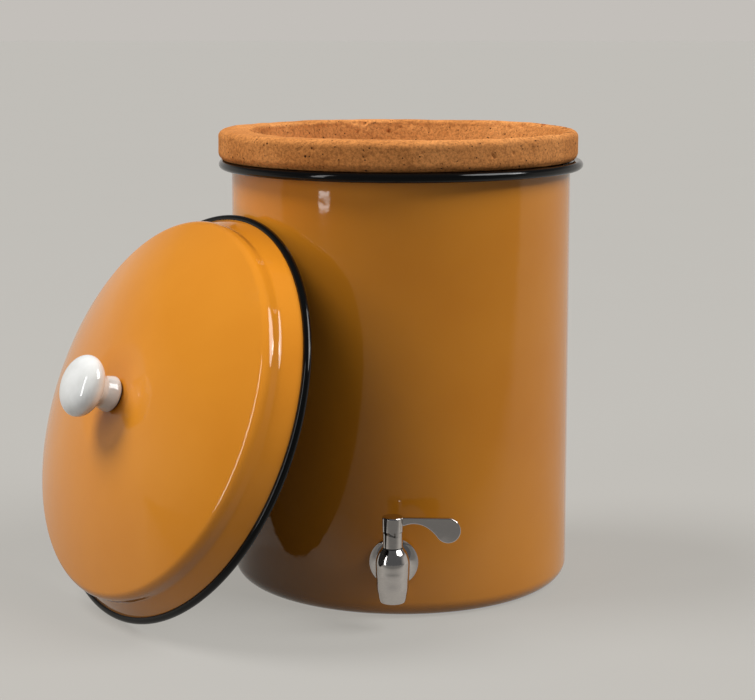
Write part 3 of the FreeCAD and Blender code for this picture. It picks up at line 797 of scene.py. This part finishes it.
@dataclass
class Lid:
    """The domed enamelled lid, which leans on the floor against the receptacle."""
    finishes: Finishes
    wall_radius: float = 0.1633
    bead_centre: float = 0.1739
    bead_radius: float = 0.0035
    bead_height: float = 0.001
    flange_radius: float = 0.1689
    flange_height: float = 0.0099
    fillet: float = 0.006
    edge_height: float = 0.0354
    edge_radius: float = 0.009
    dome_height: float = 0.0685
    flat_radius: float = 0.045
    sheet: float = 0.0012
    gasket: float = 0.001
    dome_steps: int = 34
    inner_dome_steps: int = 14
    bead_steps: int = 26
    facets: int = 288
    edge_centre: Point = field(init=False)
    dome_centre: float = field(init=False)
    dome_radius: float = field(init=False)
    flat_height: float = field(init=False)
    place: Matrix = field(init=False)

    def __post_init__(self) -> None:
        """Work out the dome's sphere and where the lid stands in the frame."""
        rise = self.dome_height - self.edge_radius
        self.edge_centre = (self.wall_radius - self.edge_radius,
                            self.edge_height - self.edge_radius)
        self.dome_centre = ((rise ** 2 - self.edge_centre[0] ** 2 - self.edge_centre[1] ** 2)
                            / (2 * (rise - self.edge_centre[1])))
        self.dome_radius = self.dome_height - self.dome_centre
        self.flat_height = (self.dome_centre
                            + math.sqrt(self.dome_radius ** 2 - self.flat_radius ** 2))
        out = Vector(joint("lid_pull_off")["axis"]).normalized()
        along = Vector((-out.y, out.x, 0)).normalized()
        centre = middle_of("knob_gasket") - out * (self.flat_height + self.gasket / 2)
        self.place = Matrix.Translation(centre) @ Matrix(
            (along, out.cross(along), out)).transposed().to_4x4()

    def surface(self, inset: float, count: int) -> list[Point]:
        """The sheet's outer face moved inwards, from the flat middle out to the rolled edge.

        Args:
            inset: How far it is moved inwards.
            count: Number of points along the dome.

        Returns:
            The points as (radius, height) pairs about the lid's own axis.
        """
        sphere = self.dome_radius - inset
        flat = self.flat_height - inset
        start = math.degrees(math.asin((flat - self.dome_centre) / sphere))
        turn = math.degrees(math.atan2(self.edge_centre[1] - self.dome_centre,
                                       self.edge_centre[0]))
        slope = math.atan2(self.flange_height - self.bead_height,
                           self.bead_centre - self.flange_radius)
        fillet = self.fillet + inset
        foot_turn = 270 - math.degrees(slope)
        centre_radius = self.wall_radius + self.fillet
        foot_radius = centre_radius + self.fillet * math.cos(math.radians(foot_turn))
        foot_height = self.flange_height + (self.flange_radius - foot_radius) * math.tan(slope)
        centre = (centre_radius, foot_height - self.fillet * math.sin(math.radians(foot_turn)))
        flat_edge = sphere * math.cos(math.radians(start))
        points = [(0.0, flat)]
        points += straight_points((0.0, flat), (flat_edge - 0.004, flat), 4)
        points += [(flat_edge - 0.004, flat), (flat_edge - 0.001, flat - 0.00004)]
        points += round_points((0.0, self.dome_centre), sphere, start - 0.25, turn, count)
        points += round_points(self.edge_centre, self.edge_radius - inset, turn, 0, 10)[1:]
        wall = self.wall_radius - inset
        points += straight_points((wall, self.edge_centre[1]), (wall, centre[1]), 3)
        points += round_points(centre, fillet, 180, foot_turn, 9)
        return points

    def section(self) -> list[Point]:
        """Half section of the lid: over the dome, round the rolled edge and back inside."""
        bead = (self.bead_centre, self.bead_height)
        outer = self.surface(0.0, self.dome_steps)
        inner = self.surface(self.sheet, self.inner_dome_steps)
        roll = round_points(bead, self.bead_radius, 118, -170, self.bead_steps)
        return outer + roll + list(reversed(inner))

    def coat(self, centre: Vector, normal: Vector) -> Coat:
        """Which enamel a face has, about the lid's own axis; the dark inside coat is partly
        painted shade.
        """
        if centre.z < self.bead_height + self.bead_radius * 1.15:
            return Coat.EDGE
        radius = max(math.hypot(centre.x, centre.y), Workshop.SAME_POINT)
        outwards = (normal.x * centre.x + normal.y * centre.y) / radius
        return Coat.INSIDE if normal.z < -0.2 or outwards < -0.3 else Coat.OUTSIDE

    def build(self) -> list[bpy.types.Object]:
        """Model, paint and seat the lid and its knob."""
        lid = Workshop.turn("enamelled_lid", self.section(), self.facets)
        Workshop.paint(lid, [self.finishes.ochre, self.finishes.black, self.finishes.inside],
                       self.coat)
        Workshop.put(lid, self.place)
        Workshop.smooth(lid, 35)
        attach(lid, "lid")
        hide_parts("lid_shell")
        return [lid, self.knob()]

    def knob(self) -> bpy.types.Object:
        """The porcelain knob, smoothed from the frame."""
        knob = Workshop.copy_node("lid_knob", "porcelain_knob", 40)
        knob.data.materials.append(self.finishes.porcelain)
        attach(knob, "lid")
        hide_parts("lid_knob")
        return knob


@dataclass
class Tap:
    """The polished steel tap: its castings are smoothed copies of the frame's.

    The barrel is filled out a little towards its lip and its shoulder, as pairs of a height
    and a share of its radius.
    """
    finishes: Finishes
    barrel_inner: float = 0.0083
    barrel_outer: float = 0.0150
    fullness: tuple[tuple[float, float], ...] = (
        (0.0240, 1.18), (0.0330, 1.07), (0.0430, 1.0), (0.0500, 1.02), (0.0590, 1.08),
        (0.0650, 1.08), (0.0694, 1.0))

    def build(self) -> list[bpy.types.Object]:
        """Smooth, fill out, polish and seat the visible castings."""
        pieces = []
        for node, name, body in (("tap_body", "tap_casting", "receptacle"),
                                 ("tap_bonnet", "cam_bonnet", "receptacle"),
                                 ("tap_lever", "lever_with_paddle", "lever")):
            piece = Workshop.copy_node(node, name, 32)
            if node == "tap_body":
                self.fill_out(piece)
            piece.data.materials.append(self.finishes.polished)
            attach(piece, body)
            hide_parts(node)
            pieces.append(piece)
        return pieces

    def fill_out(self, piece: bpy.types.Object) -> None:
        """Widen the barrel of the casting round the tap's upright axis."""
        axis = middle_of("tap_bonnet")
        for vertex in piece.data.vertices:
            place = vertex.co
            radius = math.hypot(place.x - axis.x, place.y - axis.y)
            if self.barrel_inner < radius < self.barrel_outer:
                share = self.share_at(place.z)
                place.x = axis.x + (place.x - axis.x) * share
                place.y = axis.y + (place.y - axis.y) * share

    def share_at(self, height: float) -> float:
        """How much wider the barrel is made at a height."""
        for (low, before), (high, after) in zip(self.fullness, self.fullness[1:]):
            if low <= height <= high:
                turn = (1 - math.cos(math.pi * (height - low) / (high - low))) / 2
                return before + (after - before) * turn
        return 1.0


class Hardware:
    """The small fittings: all but the spring stay as the frame has them and get a finish."""

    def __init__(self, finishes: Finishes) -> None:
        """Pair each node with its finish, also the nodes that dressed pieces replace."""
        self.coats = {
            "knob_insert": finishes.brass, "knob_gasket": finishes.rubber,
            "knob_washer": finishes.steel, "knob_screw": finishes.steel,
            "tap_outer_seal": finishes.silicone, "tap_inner_seal": finishes.silicone,
            "tap_inner_washer": finishes.steel, "tap_nut": finishes.steel,
            "bonnet_gasket": finishes.rubber, "stem_o_rings": finishes.rubber,
            "lever_grub_screw": finishes.steel, "valve_stem": finishes.steel,
            "valve_plug": finishes.silicone}
        self.replaced = {
            "valve_spring": finishes.steel, "clay_filter_pot": finishes.clay,
            "receptacle_shell": finishes.ochre,
            "lid_shell": finishes.ochre, "lid_knob": finishes.porcelain,
            "tap_body": finishes.polished, "tap_bonnet": finishes.polished,
            "tap_lever": finishes.polished}

    def build(self) -> list[bpy.types.Object]:
        """Put each finish on its node and dress the spring."""
        for node, coat in {**self.coats, **self.replaced}.items():
            materials = frame["nodes"][node].data.materials
            materials.clear()
            materials.append(coat)
        return [self.spring()]

    def spring(self) -> bpy.types.Object:
        """The coil under the bonnet, which shortens as the plug lifts."""
        spring = Workshop.copy_node("valve_spring", "plug_spring")
        spring.data.materials.append(self.replaced["valve_spring"])
        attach(spring, "receptacle")
        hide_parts("valve_spring")
        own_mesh(spring)
        return spring


@dataclass(frozen=True)
class Sun:
    """A far, soft lamp: where it stands, how wide it looks and how strong it is.

    The bearing is counted from the camera's side towards the right, all angles are in degrees,
    and a level of 1 lights a surface that faces it to its written colour. A soft one lights
    matt surfaces alone and leaves no gleam.
    """
    name: str
    bearing: float
    rise: float
    width: float
    level: float
    soft: bool = False


@dataclass(frozen=True)
class Softbox:
    """An upright lamp that shows as a crisp highlight in the gloss.

    It stands at a bearing from the camera's side and a distance from the object, with its
    width and height, the height of its middle above the floor, and its power in watts.
    """
    name: str
    bearing: float
    distance: float
    size: tuple[float, float]
    middle: float
    power: float


@dataclass
class Studio:
    """The floor, the dim room, the lamps and the camera.

    A glow or backdrop is a colour that the camera, gloss and glass see, and it lights nothing.
    The fades say where gloss sees none of it and where all of it: along Y on the floor, and by
    a ray's rise (Z) and its way from front to back (Y) in the room. The whole studio is turned
    about the object by turn, and its angles are in degrees.
    """
    floor_colour: Colour = srgb(102, 101, 99)
    floor_glow: Colour = srgb(160, 157, 151)
    floor_unevenness: float = 0.985
    floor_size: float = 60.0
    floor_fade: tuple[float, float] = (-0.40, -0.22)
    backdrop: Colour = srgb(195, 191, 186)
    ambient: Colour = srgb(235, 238, 242)
    ambient_level: float = 0.13
    rise_fade: tuple[float, float] = (0.45, 0.15)
    depth_fade: tuple[float, float] = (-0.45, 0.05)
    camera_distance: float = 1.6763
    camera_height: float = 0.5043
    camera_side: float = -0.01582
    turn: float = 2.5
    pitch: float = 7.509
    yaw: float = 0.167
    focal_pixels: float = 1888.0
    frame_width: float = 755
    sensor: float = 36
    shift_y: float = -0.12
    boxes: tuple[Softbox, ...] = (
        Softbox("tall_strip", -51, 2.55, (0.34, 2.4), 1.3, 18),
        Softbox("side_window", 81, 1.9, (0.42, 0.34), 1.46, 7))
    suns: tuple[Sun, ...] = (Sun("left_key", -88, 57, 26, 0.86, True),
                             Sun("right_key", 76, 46, 34, 0.68))

    def build(self) -> None:
        """Lay the floor, hang the lamps and set the camera."""
        self.floor()
        self.world()
        for sun in self.suns:
            self.lamp(sun)
        for box in self.boxes:
            self.softbox(box)
        self.camera()
        bpy.context.scene.view_settings.view_transform = "Standard"

    def floor(self) -> None:
        """A pale matt floor with the backdrop's own glow, which gloss sees less in front."""
        Workshop.deselect()
        bpy.ops.mesh.primitive_plane_add(size=self.floor_size,
                                         rotation=(0, 0, math.radians(self.turn)))
        floor = bpy.context.object
        floor.name = "studio_floor"
        shader = Shader("studio_paper")
        dim = tuple(self.floor_unevenness * channel for channel in self.floor_colour)
        shader.feed("Base Color", shader.ramp(shader.pattern(Grain.NOISE, 3, 2),
                                              [(0.3, dim), (0.7, self.floor_colour)]))
        shader.set(Emission_Color=(*self.floor_glow, 1))
        shader.feed("Emission Strength", shader.shown(shader.where, {"Y": self.floor_fade}))
        shader.set(Roughness=0.9, Specular_IOR_Level=0.1)
        floor.data.materials.append(shader.material)

    def world(self) -> None:
        """A dim room with a pale backdrop, which gloss sees low down behind the object."""
        world = bpy.data.worlds.new("studio_air")
        bpy.context.scene.world = world
        world.use_nodes = True
        graph = Graph(world.node_tree)
        way = graph.nodes.new("ShaderNodeTexCoord").outputs["Generated"]
        share = graph.shown(way, {"Z": self.rise_fade, "Y": self.depth_fade})
        dim = tuple(self.ambient_level * channel for channel in self.ambient)
        sky = graph.nodes["Background"]
        graph.links.new(graph.blend(share, dim, self.backdrop), sky.inputs["Color"])
        sky.inputs["Strength"].default_value = 1

    def level_way(self, bearing: float) -> Vector:
        """The level direction from the object at a bearing, in degrees from the camera's side."""
        angle = math.radians(bearing + self.turn)
        return Vector((math.sin(angle), -math.cos(angle), 0))

    def lamp(self, sun: Sun) -> None:
        """Hang one far lamp that faces the object.

        Args:
            sun: The lamp.
        """
        rise = math.radians(sun.rise)
        way = self.level_way(sun.bearing) * math.cos(rise) + Vector((0, 0, math.sin(rise)))
        Workshop.deselect()
        bpy.ops.object.light_add(type="SUN", location=3 * way)
        lamp = bpy.context.object
        lamp.name = sun.name
        lamp.data.energy = math.pi * sun.level
        lamp.data.angle = math.radians(sun.width)
        lamp.visible_glossy = not sun.soft
        lamp.rotation_euler = (-way).to_track_quat("-Z", "Y").to_euler()

    def softbox(self, box: Softbox) -> None:
        """Stand one upright lamp on the floor, facing the object.

        Args:
            box: The lamp.
        """
        spot = self.level_way(box.bearing) * box.distance + Vector((0, 0, box.middle))
        Workshop.deselect()
        bpy.ops.object.light_add(type="AREA", location=spot)
        lamp = bpy.context.object
        lamp.name = box.name
        lamp.data.shape = "RECTANGLE"
        lamp.data.size, lamp.data.size_y = box.size
        lamp.data.energy = box.power
        inward = Vector((0, 0, box.middle)) - spot
        lamp.rotation_euler = inward.to_track_quat("-Z", "Y").to_euler()

    def camera(self) -> None:
        """Stand the camera where the photograph was taken."""
        spot = (self.level_way(0) * self.camera_distance + self.level_way(90) * self.camera_side
                + Vector((0, 0, self.camera_height)))
        bpy.ops.object.camera_add(
            location=spot, rotation=(math.radians(90 - self.pitch), 0,
                                     math.radians(self.turn + self.yaw)))
        camera = bpy.context.object
        camera.data.sensor_width = self.sensor
        camera.data.lens = self.sensor * self.focal_pixels / self.frame_width
        camera.data.shift_y = self.shift_y
        camera.data.clip_end = 300
        bpy.context.scene.camera = camera


def main() -> None:
    """Build the object and its studio, and report each piece."""
    finishes = Finishes()
    makers = [kind(finishes) for kind in (Hardware, Receptacle, ClayPot, Lid, Tap)]
    for maker in makers:
        for piece in maker.build():
            LOG.info("%s has %d faces", piece.name, len(piece.data.polygons))
    Studio().build()
    Workshop.deselect()


if __name__ == "__main__":
    logging.basicConfig(level=logging.INFO)
    main()
